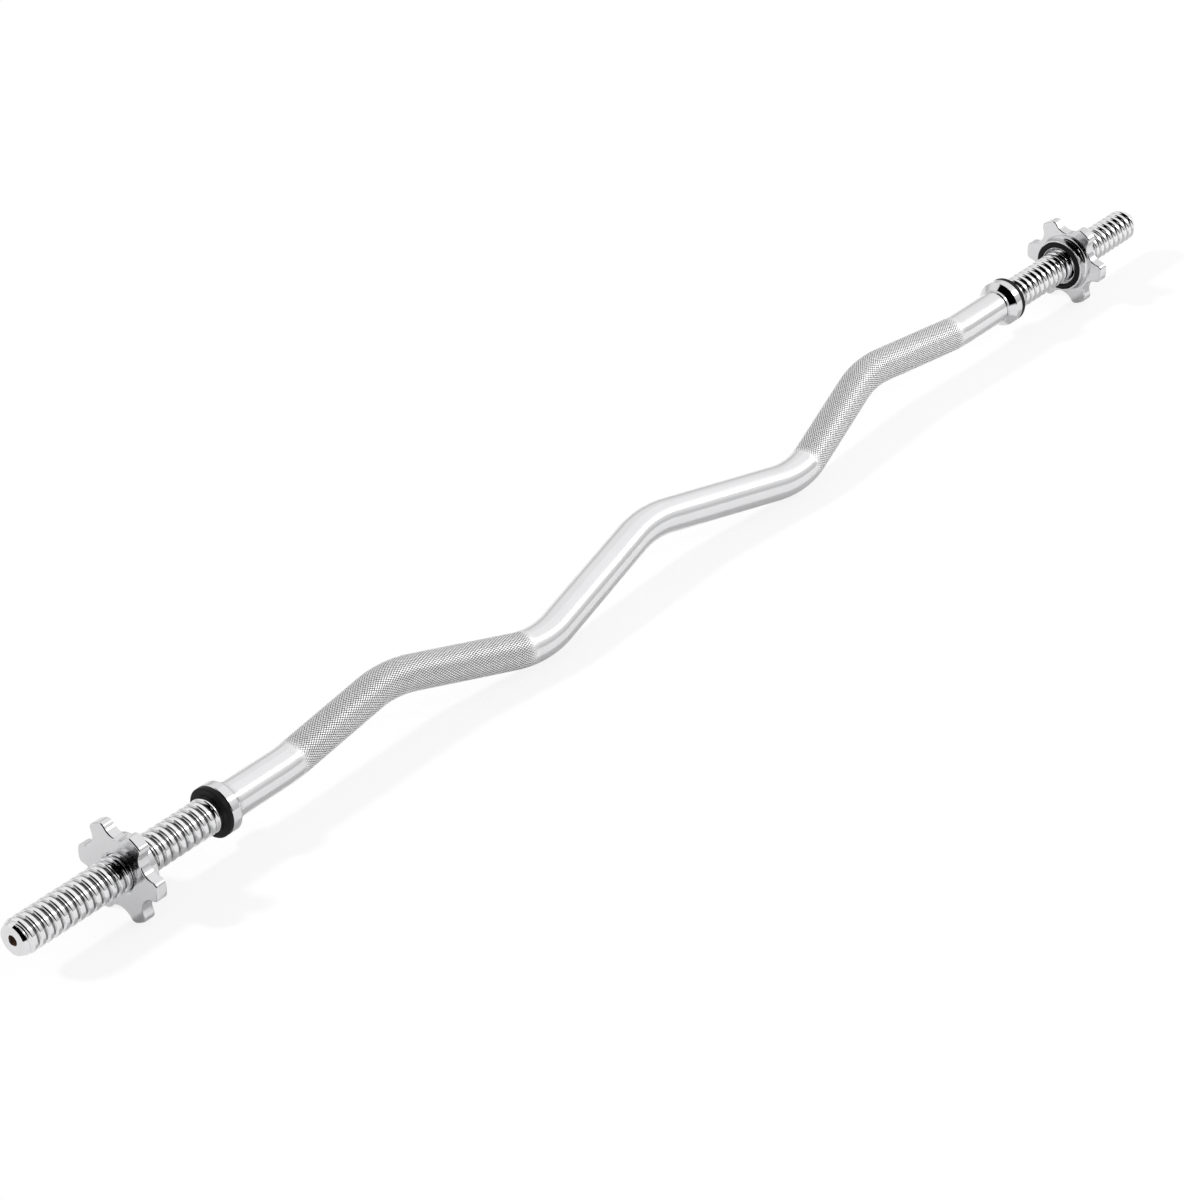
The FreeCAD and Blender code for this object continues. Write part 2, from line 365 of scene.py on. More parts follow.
def shaftTree():
    # smooth shaft that sinks a little under two knurled bands
    wrap = wrapTree()
    knurl = knurlTree(wrap)
    tree, feeds = newTree("bentShaft", [("Line", "Object"), ("Middle", "Float"), ("Radius", "Float"),
                                        ("Half Length", "Float"), ("Rings", "Int"), ("Sides", "Int"),
                                        ("Grip Start", "Float"), ("Grip End", "Float"), ("Row Step", "Float"),
                                        ("Columns", "Int"), ("Flat", "Float"), ("Peak", "Float"),
                                        ("Groove", "Float"), ("Fade", "Float"), ("Tuck", "Float"),
                                        ("Crisp", "Float"), ("Sink", "Float"), ("Finish", "Material")])
    middle, gripStart, gripEnd = feeds["Middle"], feeds["Grip Start"], feeds["Grip End"]
    line = addNode(tree, "GeometryNodeObjectInfo", {"Object": feeds["Line"]}).outputs["Geometry"]
    grid = addNode(tree, "GeometryNodeMeshGrid", {"Size X": calc(tree, "MULTIPLY", feeds["Half Length"], 2.0),
                                                  "Size Y": 2 * pi, "Vertices X": feeds["Rings"],
                                                  "Vertices Y": feeds["Sides"]})
    x, y = here(tree)[:2]
    station = calc(tree, "ABSOLUTE", x)
    entering = ease(tree, station, gripStart, calc(tree, "ADD", gripStart, feeds["Fade"]))
    leaving = ease(tree, station, calc(tree, "SUBTRACT", gripEnd, feeds["Fade"]), gripEnd, 1.0, 0.0)
    sunk = calc(tree, "MULTIPLY", calc(tree, "MULTIPLY", entering, leaving),
                calc(tree, "ADD", feeds["Groove"], feeds["Sink"]))
    radius = calc(tree, "SUBTRACT", feeds["Radius"], sunk)
    flat = moved(tree, grid.outputs[0], joinXyz(tree, calc(tree, "ADD", x, middle), y, radius))
    core = addNode(tree, "GeometryNodeGroup", {"Flat": flat, "Line": line, "Middle": middle}, node_tree=wrap)
    core = smoothed(tree, welded(tree, core.outputs[0], weld["bent"]))
    join = addNode(tree, "GeometryNodeJoinGeometry")
    tree.links.new(core, join.inputs[0])
    rows = calc(tree, "DIVIDE", calc(tree, "SUBTRACT", gripEnd, gripStart), feeds["Row Step"])
    rows = calc(tree, "ADD", calc(tree, "ROUND", rows), 1)
    shared = ("Middle", "Radius", "Row Step", "Columns", "Flat", "Peak", "Groove", "Fade", "Tuck", "Crisp")
    for start in (calc(tree, "SUBTRACT", middle, gripEnd), calc(tree, "ADD", middle, gripStart)):
        sizes = {"Line": line, "Start": start, "Rows": rows, **{label: feeds[label] for label in shared}}
        band = addNode(tree, "GeometryNodeGroup", sizes, node_tree=knurl)
        tree.links.new(band.outputs[0], join.inputs[0])
    finishTree(tree, join.outputs[0], feeds["Finish"])
    return tree


shaft = {
    "end": 434 * mm,              # both ends stop inside the collars' rings
    "rings": 400,
    "sides": 73,
    "gripStart": 153 * mm,        # the knurl, measured along the bar from its middle
    "gripEnd": 374 * mm,
    "rowStep": 1.49 * mm,         # half a diamond's length
    "columns": 43,
    "flat": 0.66,                 # a diamond's top as a share of its base
    "peak": 0.02 * mm,
    "groove": 0.13 * mm,
    "fade": 12 * mm,
    "crisp": 13,                  # edges that bend more than this stay sharp
    "tuck": 0.01 * mm,
    "sink": 0.08 * mm,
    "steel": [(0.72, 0.72, 0.73), (0.78, 0.78, 0.79)],
    "cloudScale": 35,
    "turningScale": 60,           # fine lines from turning, drawn out round the bar
    "turningStretch": (40, 1, 1),
    "turningDetail": 4,
    "turningRough": (0.13, 0.2),
    "turningStrength": 0.06,
    "turningHeight": 0.02 * mm,
    "gripLitAndShaded": [(0.97, 0.97, 0.97), (0.03, 0.03, 0.03)],   # painted light on the diamonds' tops and painted shade down between them
    "gripRough": 0.5,
    "knurlShade": (0.01 * mm, 0.08 * mm),   # painted shade: the grip darkens between these depths
}


def satinSteelFinish():
    # read in the coordinates of the bar before it was bent
    material, tree, shader = newFinish("satinSteel", 1.0, shaft["steel"][0])
    straight = addNode(tree, "ShaderNodeAttribute", attribute_name="straightBar").outputs["Vector"]
    lines = noiseOn(tree, straight, shaft["turningScale"], shaft["turningStretch"], shaft["turningDetail"])
    clouds = noiseOn(tree, straight, shaft["cloudScale"])
    x, y, z = splitXyz(tree, straight)
    station = calc(tree, "ABSOLUTE", x)
    entered = ease(tree, station, shaft["gripStart"], shaft["gripStart"] + shaft["fade"])
    left = ease(tree, station, shaft["gripEnd"] - shaft["fade"], shaft["gripEnd"])
    knurled = calc(tree, "SUBTRACT", entered, left)
    # painted shade in the knurl's grooves, darker with depth; the diamonds' tops are painted lighter than the plain
    # steel
    knurlShade = ease(tree, calc(tree, "SUBTRACT", bar["radius"], fromAxis(tree, y, z)), *shaft["knurlShade"])
    steel = shade(tree, clouds, *shaft["steel"])
    grip = shade(tree, knurlShade, *shaft["gripLitAndShaded"])
    tree.links.new(shade(tree, knurled, steel, grip), shader.inputs["Base Color"])
    rough = ranged(tree, lines, *noiseSpan, *shaft["turningRough"])
    tree.links.new(ranged(tree, knurled, 0.0, 1.0, rough, shaft["gripRough"]), shader.inputs["Roughness"])
    relief(tree, shader, lines, shaft["turningStrength"], shaft["turningHeight"])
    return material


def closeRims(work):
    rims = [edge for edge in work.edges if edge.is_boundary]
    bmesh.ops.holes_fill(work, edges=rims, sides=0)


def lineLength(points):
    return sum((b - a).length for a, b in zip(points, points[1:]))


def makeShaft():
    points = barPoints()
    line = drawnLine("barLine", points)
    middle = lineLength(points) / 2
    sizes = {"Line": line, "Middle": middle, "Radius": bar["radius"],
             "Half Length": middle - bar["halfLength"] + shaft["end"],
             "Rings": shaft["rings"], "Sides": shaft["sides"], "Grip Start": shaft["gripStart"],
             "Grip End": shaft["gripEnd"], "Row Step": shaft["rowStep"], "Columns": shaft["columns"],
             "Flat": shaft["flat"], "Peak": shaft["peak"], "Groove": shaft["groove"], "Fade": shaft["fade"],
             "Tuck": shaft["tuck"], "Crisp": radians(shaft["crisp"]), "Sink": shaft["sink"],
             "Finish": satinSteelFinish()}
    piece = grown("bentShaft", shaftTree(), sizes)
    bpy.data.objects.remove(line)
    work = bmesh.new()
    work.from_mesh(piece.data)
    closeRims(work)
    work.to_mesh(piece.data)
    work.free()
    return piece


bentShaft = makeShaft()
print("shaft", len(bentShaft.data.polygons), "faces")


# rolled thread on both ends
def grooveShare(tree, feeds, fromRoot):
    # 1 at the groove's root and 0 on the crest: a slanted flank with the same round at its foot and its top
    toEnd = calc(tree, "MINIMUM", fromRoot, calc(tree, "SUBTRACT", feeds["Flank"], fromRoot))
    toEnd = calc(tree, "MAXIMUM", toEnd, 0.0)
    onRound = calc(tree, "MINIMUM", toEnd, feeds["Corner Reach"])
    onFlank = calc(tree, "SUBTRACT", toEnd, onRound)
    drop = calc(tree, "SUBTRACT", calc(tree, "POWER", feeds["Corner"], 2), calc(tree, "POWER", onRound, 2))
    rise = calc(tree, "SUBTRACT", feeds["Corner"], calc(tree, "SQRT", drop))
    rise = calc(tree, "MULTIPLY_ADD", onFlank, feeds["Flank Slope"], rise)
    share = calc(tree, "DIVIDE", rise, feeds["Depth"])
    foot = calc(tree, "LESS_THAN", fromRoot, calc(tree, "MULTIPLY", feeds["Flank"], 0.5))
    return calc(tree, "MULTIPLY_ADD", foot, calc(tree, "MULTIPLY_ADD", share, -2.0, 1.0), share)


def threadTree():
    # one strip as wide as the lead, wound round the axis and cut off square at both ends
    tree, feeds = newTree("rolledThread", [("Low", "Float"), ("High", "Float"), ("Lead", "Float"), ("Phase", "Float"),
                                           ("First Turn", "Float"), ("Turns", "Int"), ("Turn Steps", "Int"),
                                           ("Strip Steps", "Int"), ("Crest Radius", "Float"), ("Depth", "Float"),
                                           ("Root Half", "Float"), ("Flank", "Float"), ("Flank Slope", "Float"),
                                           ("Corner", "Float"), ("Corner Reach", "Float"), ("Run Out Start", "Float"),
                                           ("Run Out", "Float"), ("End", "Float"), ("Face Radius", "Float"),
                                           ("Cone Slope", "Float"), ("Axis Height", "Float"), ("Finish", "Material")])
    longways = calc(tree, "ADD", calc(tree, "MULTIPLY", feeds["Turns"], feeds["Turn Steps"]), 1)
    crossways = calc(tree, "ADD", feeds["Strip Steps"], 1)
    grid = addNode(tree, "GeometryNodeMeshGrid", {"Size X": 1.0, "Size Y": 1.0,
                                                  "Vertices X": longways, "Vertices Y": crossways})
    x, y = here(tree)[:2]
    turn = calc(tree, "MULTIPLY_ADD", calc(tree, "ADD", x, 0.5), feeds["Turns"], feeds["First Turn"])
    offset = calc(tree, "MULTIPLY", y, feeds["Lead"])
    station = calc(tree, "ADD", calc(tree, "MULTIPLY_ADD", turn, feeds["Lead"], feeds["Phase"]), offset)
    station = calc(tree, "MINIMUM", calc(tree, "MAXIMUM", station, feeds["Low"]), feeds["High"])
    outward = calc(tree, "ABSOLUTE", station)
    fromRoot = calc(tree, "SUBTRACT", calc(tree, "ABSOLUTE", offset), feeds["Root Half"])
    groove = grooveShare(tree, feeds, fromRoot)
    runOutEnd = calc(tree, "ADD", feeds["Run Out Start"], feeds["Run Out"])
    depth = calc(tree, "MULTIPLY", feeds["Depth"], ease(tree, outward, feeds["Run Out Start"], runOutEnd))
    radius = calc(tree, "SUBTRACT", feeds["Crest Radius"], calc(tree, "MULTIPLY", depth, groove))
    cone = calc(tree, "MULTIPLY_ADD", calc(tree, "SUBTRACT", feeds["End"], outward), feeds["Cone Slope"],
                feeds["Face Radius"])
    radius = calc(tree, "MINIMUM", radius, cone)
    angle = calc(tree, "MULTIPLY", turn, 2 * pi)
    sideways = calc(tree, "MULTIPLY", radius, calc(tree, "COSINE", angle))
    height = calc(tree, "MULTIPLY_ADD", radius, calc(tree, "SINE", angle), feeds["Axis Height"])
    wound = moved(tree, grid.outputs[0], joinXyz(tree, station, sideways, height))
    finishTree(tree, smoothed(tree, welded(tree, wound, weld["bent"])), feeds["Finish"])
    return tree


thread = {
    "lead": 6.5 * mm,
    "phase": {-1: -590.8 * mm, 1: 591.6 * mm},   # one groove's middle on top of the bar
    "depth": 1.75 * mm,
    "rootHalf": 0.1 * mm,
    "corner": 1.1 * mm,           # radius where crest and root meet the flank
    "flankAngle": 65,
    "turnSteps": 60,
    "stripSteps": 40,
    "start": 432 * mm,
    "runOutStart": 436.5 * mm,
    "runOut": 5 * mm,
    "faceRadius": 10.2 * mm,
    "faceRim": 0.2 * mm,          # flat kept beside the end face's edge
    "coneLength": 5.2 * mm,
    "sharp": 50,                  # edges that bend more than this stay sharp
    "colour": (0.78, 0.78, 0.79),
    "rough": 0.03,
    "grooveShade": (1.2 * mm, 1.75 * mm),   # painted shade: the chrome darkens between these depths
    "grooveShadeColour": (0.2, 0.2, 0.2),
    "grooveShadeFade": 1 * mm,
}
latheCentre = {                   # the hole in each end face, never plated: dark, a little brown
    "mouth": 3.7 * mm,
    "mouthEdge": 0.25 * mm,
    "mouthRound": 0.08 * mm,
    "slant": 30,
    "pilot": 1.6 * mm,
    "depth": 9 * mm,
    "colour": (0.05, 0.03, 0.02),
    "rust": [(0.012, 0.007, 0.005), (0.06, 0.03, 0.016)],
    "rustScale": 900,
    "rustRough": (0.4, 0.65),
    "specular": 0.3,
}


def threadFinish():
    # bright chrome with painted shade down in the groove, but not on the cone at the end
    material, tree, shader = chromeFinish("threadChrome", thread["colour"], thread["rough"])
    x, y, z = splitXyz(tree, objectSpace(tree))
    z = calc(tree, "SUBTRACT", z, bar["axisHeight"])
    # painted shade down in the thread's groove, darker with depth
    grooveShade = ease(tree, calc(tree, "SUBTRACT", bar["radius"], fromAxis(tree, y, z)), *thread["grooveShade"])
    coneFoot = bar["halfLength"] - thread["coneLength"]
    sleeve = ease(tree, calc(tree, "ABSOLUTE", x), coneFoot - thread["grooveShadeFade"], coneFoot, 1.0, 0.0)
    grooveShade = calc(tree, "MULTIPLY", grooveShade, sleeve)
    unshaded = shader.inputs["Base Color"].links[0].from_socket
    tree.links.new(shade(tree, grooveShade, unshaded, thread["grooveShadeColour"]), shader.inputs["Base Color"])
    return material


def centreFinish():
    material, tree, shader = newFinish("bareCentre", 0.0, latheCentre["colour"])
    shader.inputs["Specular IOR Level"].default_value = latheCentre["specular"]
    rust = noiseOn(tree, objectSpace(tree), latheCentre["rustScale"])
    tree.links.new(shade(tree, rust, *latheCentre["rust"]), shader.inputs["Base Color"])
    tree.links.new(ranged(tree, rust, *noiseSpan, *latheCentre["rustRough"]), shader.inputs["Roughness"])
    return material


def turnedFaces(work, profile, steps, closed, slot=0):
    # turns (station, radius) points about the bar's axis
    angles = [2 * pi * step / steps for step in range(steps)]
    rings = []
    for station, radius in profile:
        spots = [(radius * cos(a), radius * sin(a)) for a in angles] if radius else [(0, 0)]
        rings.append([work.verts.new(axis + Vector((station, y, z))) for y, z in spots])
    pairs = list(zip(rings, rings[1:]))
    if closed:
        pairs.append((rings[-1], rings[0]))
    for first, second in pairs:
        for step in range(steps):
            after = (step + 1) % steps
            corners = [first[step % len(first)], first[after % len(first)],
                       second[after % len(second)], second[step % len(second)]]
            face = work.faces.new(list(dict.fromkeys(corners)))
            face.smooth = True
            face.material_index = slot


def threadPhase(side):
    # turns are counted from the back of the bar, a quarter turn before its top
    return thread["phase"][side] - thread["lead"] / 4


def threadSizes(side):
    low, high = sorted((side * thread["start"], side * bar["halfLength"]))
    phase = threadPhase(side)
    firstTurn = floor((low - phase) / thread["lead"]) - 1
    lastTurn = ceil((high - phase) / thread["lead"]) + 1
    slope = (bar["radius"] - thread["faceRadius"]) / thread["coneLength"]
    steep, corner = radians(thread["flankAngle"]), thread["corner"]
    straight = (thread["depth"] - 2 * corner * (1 - cos(steep))) / tan(steep)
    return {"Low": low, "High": high, "Lead": thread["lead"], "Phase": phase, "First Turn": float(firstTurn),
            "Turns": lastTurn - firstTurn, "Turn Steps": thread["turnSteps"], "Strip Steps": thread["stripSteps"],
            "Crest Radius": bar["radius"], "Depth": thread["depth"], "Root Half": thread["rootHalf"],
            "Flank": 2 * corner * sin(steep) + straight, "Flank Slope": tan(steep), "Corner": corner,
            "Corner Reach": corner * sin(steep), "Run Out Start": thread["runOutStart"], "Run Out": thread["runOut"],
            "End": bar["halfLength"], "Face Radius": thread["faceRadius"], "Cone Slope": slope,
            "Axis Height": bar["axisHeight"], "Finish": threadChrome}


def endSections():
    # half sections of the end face and of the lathe centre in it
    end, outer = bar["halfLength"], thread["faceRadius"]
    mouth, pilot, deep = latheCentre["mouth"], latheCentre["pilot"], end - latheCentre["depth"]
    edge, soft = latheCentre["mouthEdge"], latheCentre["mouthRound"]
    slantFoot = end - (mouth - pilot) / tan(radians(latheCentre["slant"]))
    face = [(end, outer), (end, outer - thread["faceRim"]), (end, mouth + edge), (end - soft, mouth + soft),
            (end - edge, mouth)]
    hole = [(end - edge, mouth), (slantFoot, pilot), (deep, pilot), (deep - pilot / 2, 0)]
    return face, hole


def makeThread(side):
    name = "leftThread" if side < 0 else "rightThread"
    piece = grown(name, rolledThread, threadSizes(side))
    piece.data.materials.append(bareCentre)
    work = bmesh.new()
    work.from_mesh(piece.data)
    for slot, section in enumerate(endSections()):
        turnedFaces(work, [(side * x, r) for x, r in section], thread["turnSteps"], False, slot)
    bmesh.ops.remove_doubles(work, verts=work.verts, dist=weld["ends"])
    closeRims(work)
    bmesh.ops.recalc_face_normals(work, faces=work.faces)
    work.to_mesh(piece.data)
    work.free()
    piece.data.set_sharp_from_angle(angle=radians(thread["sharp"]))
    return piece


rolledThread = threadTree()
threadChrome = threadFinish()
bareCentre = centreFinish()
leftThread = makeThread(-1)
rightThread = makeThread(1)
for piece in (bentShaft, leftThread, rightThread):
    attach(piece, "bar")
    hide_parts("bar")
print("threads", len(leftThread.data.polygons), len(rightThread.data.polygons), "faces")

# turned collars and rubber rings
turning = {                       # for the collars and all four rings
    "sides": 144,
    "arcStep": 12,
    "leastSteps": 3,
    "guard": 0.12,                # millimetres of flat kept beside each round
    "sharp": 35,
}


def rounded(corners):
    # rounds the corners of a closed half section; guard points keep the flats beside a round flat
    loop = []
    for index, (x, r, fillet) in enumerate(corners):
        corner = Vector((x, r))
        if not fillet:
            loop.append(corner)
            continue
        before = Vector(corners[index - 1][:2])
        after = Vector(corners[(index + 1) % len(corners)][:2])
        arc, reach, back, ahead = roundedCorner(before, corner, after, fillet, turning["arcStep"],
                                                turning["leastSteps"])
        reach += turning["guard"]
        loop += [corner + back * reach, *arc, corner + ahead * reach]
    return [(p.x * mm, p.y * mm) for p in loop]


def pieceOf(name, work, finish, sharp):
    bmesh.ops.recalc_face_normals(work, faces=work.faces)
    mesh = bpy.data.meshes.new(name)
    work.to_mesh(mesh)
    work.free()
    mesh.materials.append(finish)
    mesh.set_sharp_from_angle(angle=radians(sharp))
    piece = bpy.data.objects.new(name, mesh)
    collection.objects.link(piece)
    return piece


def turnedPiece(name, corners, side, shift, finish):
    work = bmesh.new()
    turnedFaces(work, [(side * (x + shift), r) for x, r in rounded(corners)], turning["sides"], True)
    return pieceOf(name, work, finish, turning["sharp"])


collar = {                        # half sections: station, radius, rounding, all in millimetres
    "section": [(417.8, 12.54, 0), (417.8, 13.4, 0.3), (419.7, 13.4, 0.5), (424.0, 17.5, 1.4),
                (431.0, 17.5, 0.8), (431.0, 12.54, 0)],
    "ring": [(431.02, 12.54, 0), (431.02, 17.4, 0.3), (435.0, 17.4, 0.9), (435.0, 12.54, 0.25)],
    "colour": (0.68, 0.68, 0.69),
    "rough": 0.035,
}
collarChrome = chromeFinish("collarChrome", collar["colour"], collar["rough"])[0]
for side, name in ((-1, "left"), (1, "right")):
    piece = turnedPiece(name + "Collar", collar["section"], side, 0, collarChrome)
    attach(piece, "bar")
    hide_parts(name + "_inner_collar")
    piece = turnedPiece(name + "CollarRing", collar["ring"], side, 0, ringRubber)
    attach(piece, "bar")
    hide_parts(name + "_collar_ring")
print("collars and their rings made")

# star nuts, with their outer face at station 0 and the hub towards the collar, in millimetres
nut = {
    "place": {-1: 514.3, 1: 521.8},
    "lobes": 6,
    "tip": 34.3,
    "tipPoints": (-0.5, 0, 0.5),  # shares of the tip arc's half angle
    "valley": 25.2,
    "scallop": 11.0,
    "scallopSteps": 16,
    "corner": 4.0,
    "cornerSteps": 8,
    "plate": 8.5,
    "edge": 0.9,
    "edgeSteps": 5,
    "hub": 20.7,
    "hubLength": 7.0,
    "hubRoot": 2.4,
    "hubRootSteps": 8,
    "hubRim": 0.4,
    "hubRimSteps": 4,
    "grooveIn": 15.0,
    "grooveOut": 19.5,
    "grooveDepth": 3.9,
    "mouth": 14.5,
    "bore": 12.8,
    "bevel": 0.12,                # small edges of the mouth and the groove
    "lip": 0.1,
    "guard": 0.15,                # flat kept beside each round
    "ridgeTip": 11.65,
    "ridgeWidth": (2.6, 0.7),     # at the bore and at its tip
    "ridgeRoot": 0.2,             # how deep the ridge is set into the bore's wall
    "ridgeFrom": 6.2,             # the thread starts this far inside the hub
    "ridgeTo": 0.6,               # and ends this far inside the outer face
    "ridgeSteps": 72,             # in each turn
    "ridgeFade": 10,              # steps over which it rises at both ends
    "ridgeLow": 0.1,              # share of its height where it starts
    "ring": [(-16.2, 15.3, 0.9), (-16.2, 19.2, 0.9), (-11.62, 19.2, 0.2), (-11.62, 15.3, 0.2)],
    "sharp": 35,
    "colour": (0.66, 0.66, 0.67),
    "polish": 0.035,              # roughness round the lobes and the hub
    "satin": 0.14,                # and on the flat faces
    "satinFacing": (0.9, 0.99),   # how squarely a face looks along the bar to count as flat
}


def nutFinish():
    material, tree, shader = chromeFinish("nutChrome", nut["colour"], nut["polish"])
    normal = addNode(tree, "ShaderNodeNewGeometry").outputs["Normal"]
    flat = ease(tree, calc(tree, "ABSOLUTE", splitXyz(tree, normal)[0]), *nut["satinFacing"])
    rough = shader.inputs["Roughness"].links[0].from_socket
    tree.links.new(ranged(tree, flat, 0.0, 1.0, rough, nut["satin"]), shader.inputs["Roughness"])
    return material


def polar(angle, radius):
    return Vector((cos(angle), sin(angle))) * radius


def shortest(angle):
    return (angle + pi) % (2 * pi) - pi


def starOutline(inset):
    # tip arcs, rounded corners and scallops, all tangent; an inset keeps every arc's centre
    half = pi / nut["lobes"]
    scallopAt = nut["valley"] + nut["scallop"]
    cornerAt = nut["tip"] - nut["corner"]
    reach = nut["scallop"] + nut["corner"]
    swing = acos((cornerAt ** 2 + scallopAt ** 2 - reach ** 2) / (2 * cornerAt * scallopAt))
    lean = half - swing
    cornerSteps, scallopSteps = nut["cornerSteps"], nut["scallopSteps"]
    outline = []
    for lobe in range(nut["lobes"]):
        middle = (2 * lobe + 1) * half
        for sign in (-1, 1):
            corner = polar(middle + sign * lean, cornerAt)
            hollow = polar(middle + sign * half, scallopAt)
            toTip = atan2(corner.y, corner.x)
            toHollow = atan2(hollow.y - corner.y, hollow.x - corner.x)
            sweep = shortest(toHollow - toTip)
            angles = [toTip + sweep * k / cornerSteps for k in range(cornerSteps + 1)]
            if sign < 0:
                angles.reverse()
            outline += [corner + polar(a, nut["corner"] - inset) for a in angles]
            if sign < 0:
                outline += [polar(middle + lean * share, nut["tip"] - inset) for share in nut["tipPoints"]]
        toCorner = atan2(corner.y - hollow.y, corner.x - hollow.x)
        sweep = 2 * shortest(middle + half + pi - toCorner)
        outline += [hollow + polar(toCorner + sweep * k / scallopSteps, nut["scallop"] + inset)
                    for k in range(1, scallopSteps)]
    return outline


def quarterRound(steps):
    # shares of the radius that are gone along the new face and left along the old one
    angles = [pi / 2 * k / steps for k in range(steps + 1)]
    return [(1 - cos(a), 1 - sin(a)) for a in angles]


def nutRings():
    # (station, outline) pairs round the nut's whole section, from the outer mouth back to it through the bore
    base = starOutline(0)

    def circle(radius):
        return [p.normalized() * radius for p in base]

    edge, plate, guard, bevel, lip = nut["edge"], nut["plate"], nut["guard"], nut["bevel"], nut["lip"]
    root, hub, rim = nut["hubRoot"], nut["hub"], nut["hubRim"]
    mouth, bore, grooveIn, grooveOut = nut["mouth"], nut["bore"], nut["grooveIn"], nut["grooveOut"]
    hubEnd = -plate - nut["hubLength"]
    floorAt = hubEnd + nut["grooveDepth"]
    chamfer = mouth - bore
    edgeRound = quarterRound(nut["edgeSteps"])
    rings = [(-chamfer, circle(bore)), (-bevel, circle(mouth - bevel)), (0, circle(mouth + lip))]
    rings += [(0, circle(mouth + 2 * guard)), (0, starOutline(edge + guard))]
    rings += [(-edge * gone, starOutline(edge * left)) for gone, left in edgeRound]
    rings += [(-edge - guard, base), (-plate + edge + guard, base)]
    rings += [(-plate + edge * left, starOutline(edge * gone)) for gone, left in edgeRound]
    rings += [(-plate, starOutline(edge + guard)), (-plate, circle(hub + root + lip))]
    rings += [(-plate - root * gone, circle(hub + root * left)) for gone, left in quarterRound(nut["hubRootSteps"])]
    rings += [(-plate - root - guard, circle(hub)), (hubEnd + rim + guard, circle(hub))]
    rings += [(hubEnd + rim * left, circle(hub - rim * gone)) for gone, left in quarterRound(nut["hubRimSteps"])]
    rings += [(hubEnd, circle(grooveOut + bevel)), (hubEnd + lip, circle(grooveOut))]
    rings += [(floorAt, circle(grooveOut)), (floorAt, circle(grooveIn))]
    rings += [(hubEnd + lip, circle(grooveIn)), (hubEnd, circle(grooveIn - lip))]
    rings += [(hubEnd, circle(mouth + lip)), (hubEnd + chamfer, circle(bore))]
    return rings


def ridgeFaces(work, side, outer, inner):
    # the nut's own thread, a closed helical ridge that lies in the groove of the bar's thread
    lead, phase = thread["lead"] / mm, threadPhase(side) / mm
    wide, narrow = nut["ridgeWidth"]
    tip, bore, root = nut["ridgeTip"], nut["bore"], nut["bore"] + nut["ridgeRoot"]
    section = [(-wide / 2, root), (-wide / 2, bore), (-narrow / 2, tip),
               (narrow / 2, tip), (wide / 2, bore), (wide / 2, root)]
    low, high = sorted((side * inner, side * outer))
    first, last = (low + wide / 2 - phase) / lead, (high - wide / 2 - phase) / lead
    steps = ceil((last - first) * nut["ridgeSteps"])
    rows = []
    for step in range(steps + 1):
        turn = first + (last - first) * step / steps
        rise = min(1, step / nut["ridgeFade"], (steps - step) / nut["ridgeFade"])
        share = nut["ridgeLow"] + (1 - nut["ridgeLow"]) * rise
        row = []
        for offset, radius in section:
            r = root - (root - radius) * share
            spot = Vector((phase + turn * lead + offset, r * cos(2 * pi * turn), r * sin(2 * pi * turn)))
            row.append(work.verts.new(axis + spot * mm))
        rows.append(row)
    faces = [work.faces.new(rows[0]), work.faces.new(rows[-1])]
    for row, after in zip(rows, rows[1:]):
        for k in range(len(section)):
            n = (k + 1) % len(section)
            faces.append(work.faces.new((row[k], row[n], after[n], after[k])))
    for face in faces:
        face.smooth = True


def makeNut(name, side):
    place = nut["place"][side]
    work = bmesh.new()
    rings = []
    for station, outline in nutRings():
        x = side * (place + station)
        rings.append([work.verts.new(axis + Vector((x, side * p.y, p.x)) * mm) for p in outline])
    for ring, after in zip(rings, rings[1:] + rings[:1]):
        for k in range(len(ring)):
            n = (k + 1) % len(ring)
            work.faces.new((ring[k], ring[n], after[n], after[k])).smooth = True
    hubEnd = place - nut["plate"] - nut["hubLength"]
    ridgeFaces(work, side, place - nut["ridgeTo"], hubEnd + nut["ridgeFrom"])
    return pieceOf(name, work, nutChrome, nut["sharp"])


nutChrome = nutFinish()
for side, name in ((-1, "left"), (1, "right")):
    piece = makeNut(name + "StarNut", side)
    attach(piece, name + "_star_nut")
    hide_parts(name + "_star_nut")
    piece = turnedPiece(name + "NutRing", nut["ring"], side, nut["place"][side] * mm, ringRubber)
    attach(piece, name + "_nut_ring")
    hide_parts(name + "_nut_ring")
print("star nuts and their rings made")

# floor, lamps, world and camera
studio = {
    "floorReach": 8.0,
    "floorPaper": 0.95,
    "floorMirrored": 0.86,        # the paper as the metal mirrors it
    "floorLift": 0.83,            # share of plain white in the floor as the camera sees it
    "worldFill": 0.62,
    "horizon": 0.66,              # the sky that the metal mirrors, low down and high up
    "overhead": 1.0,
    "climb": (0.1, 0.5),          # heights between which it brightens
    "opening": {                  # dark side of the room that the metal mirrors, as parts of a direction
        "left": (-1.02, -0.99),
        "right": (0.36, 0.22),
        "backLean": 0.62,
        "backEdge": (-0.05, 0.08),
        "foot": (0.0, 0.1),
    },
    "key": {                      # far lamp that throws the shadow and isn't mirrored in the metal
        "height": 3,
        "towards": (1, -0.75, -1),
        "spread": 5.5,
        "strength": 2.1,
    },
    "softboxes": {                # along: direction of the long side; brightness: of the lit face
        "topSoftbox": {"place": (1.1, -0.05, 1.55), "along": (0.05, 1.1, 0), "size": (1.7, 1.3),
                       "brightness": 0.1},
        "sideSoftbox": {"place": (1.3, -0.87, 1.2), "along": (0.87, 1.3, 0), "size": (1.6, 0.5),
                        "brightness": 0.15},
        "stripLamp": {"place": (1.24, -0.98, 1.22), "along": (0.78, 0.39, -0.48), "size": (1.9, 0.5),
                      "brightness": 2.6},
    },
}


